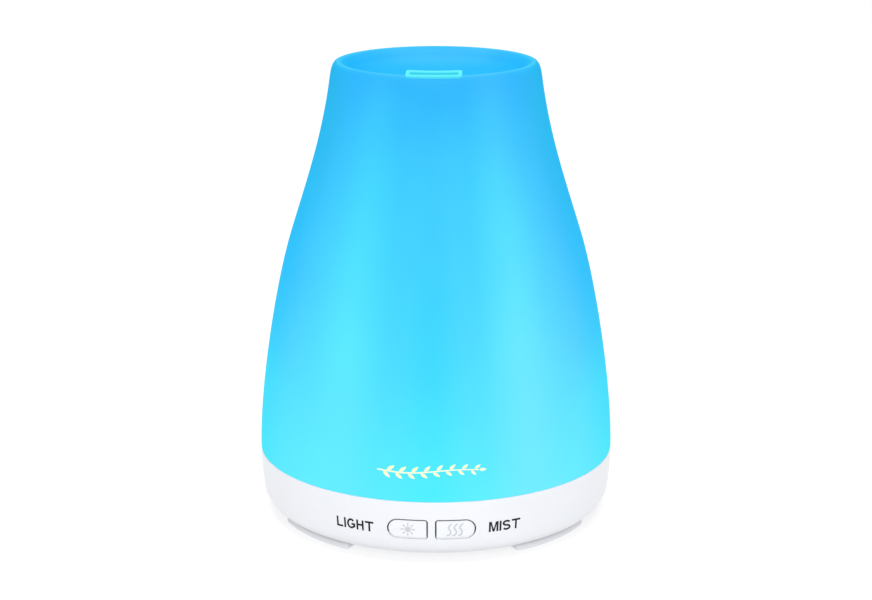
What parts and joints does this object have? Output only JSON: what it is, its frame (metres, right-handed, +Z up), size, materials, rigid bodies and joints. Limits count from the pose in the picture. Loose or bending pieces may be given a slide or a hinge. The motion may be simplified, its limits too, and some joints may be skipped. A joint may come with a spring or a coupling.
{
  "type": "essential oil diffuser",
  "caption": "Bell-shaped ultrasonic oil diffuser: a glowing frosted cover with a dished top and mist slot lifts off a low white base with light and mist push buttons.",
  "frame": {"origin": "centre of the surface that the feet stand on", "axes": "+Z up, -Y the front with the two buttons, +Y the rear with the power inlet, +X the right-hand side seen from the front"},
  "size_m": [0.1, 0.1, 0.1277],
  "materials": {
    "cover": "frosted, lit from inside, cyan at the foot to sky blue at the top",
    "nozzle": "clear-tinted, lit from inside",
    "chimney": "translucent, fine satin",
    "tank": "translucent milk white, satin",
    "silicone": "soft, matte",
    "disc_metal": "lapped, satin",
    "steel": "zinc plated",
    "white_board": "white solder mask",
    "led_lens": "clear yellow lens in a white frame",
    "base_white": "satin gloss moulding",
    "foot_grey": "soft pale grey, matte",
    "black_plastic": "fine matte moulding",
    "grey_plastic": "fine matte moulding",
    "green_board": "green solder mask",
    "copper": "enamelled winding",
    "capacitor_sleeve": "shrink sleeve",
    "aluminium": "extruded, satin",
    "ivory_plastic": "natural nylon",
    "button_white": "satin gloss moulding",
    "brass_pin": "turned, plated",
    "tin": "tin plated",
    "red_lead": "PVC insulation",
    "black_lead": "PVC insulation",
    "white_lead": "PVC insulation",
    "blue_lead": "PVC insulation"
  },
  "bodies": {
    "base": {"water_tank": "tank", "tank_floor": "tank", "air_column": "tank", "tank_posts": "tank", "tank_gasket": "silicone", "air_column_cap": "tank", "ultrasonic_disc": "disc_metal", "disc_seal": "silicone", "disc_retainer": "steel", "retainer_screws": "steel", "led_board": "white_board", "leds": "led_lens", "led_board_screws": "steel", "base_shell": "base_white", "bottom_cover": "base_white", "foot_pads": "foot_grey", "bottom_screws": "steel", "fan_frame": "black_plastic", "fan_screws": "steel", "air_duct": "grey_plastic", "driver_board": "green_board", "power_inductor": "copper", "capacitors": "capacitor_sleeve", "controller_chip": "black_plastic", "power_transistor": "black_plastic", "heat_sink": "aluminium", "lead_connectors": "ivory_plastic", "board_screws": "steel", "switch_housings": "grey_plastic", "button_board": "green_board", "button_board_screws": "steel", "dc_inlet": "black_plastic", "inlet_pin": "brass_pin", "inlet_terminals": "tin", "disc_leads": "red_lead", "fan_leads": "black_lead", "led_leads": "white_lead", "button_leads": "blue_lead", "inlet_leads": "red_lead"},
    "cover": {"top_cover": "cover", "cover_crown": "cover", "mist_nozzle": "nozzle", "mist_chimney": "chimney"},
    "light_button": {"light_button": "button_white", "light_switch_stem": "black_plastic"},
    "mist_button": {"mist_button": "button_white", "mist_switch_stem": "black_plastic"},
    "fan_rotor": {"fan_rotor": "black_plastic"}
  },
  "joints": [
    {"name": "cover_lift", "type": "slide", "parent": "base", "child": "cover", "axis": [0, 0, 1], "range_m": [0, 0.06]},
    {"name": "light_press", "type": "slide", "parent": "base", "child": "light_button", "axis": [0, 1, 0], "range_m": [0, 0.0005], "stiffness_N_per_m": 1500, "springref_m": -0.0003},
    {"name": "mist_press", "type": "slide", "parent": "base", "child": "mist_button", "axis": [0, 1, 0], "range_m": [0, 0.0005], "stiffness_N_per_m": 1500, "springref_m": -0.0003},
    {"name": "fan_spin", "type": "hinge", "parent": "base", "child": "fan_rotor", "pos_m": [0.017, 0, 0.0085], "axis": [0, 0, 1], "continuous": true}
  ]
}
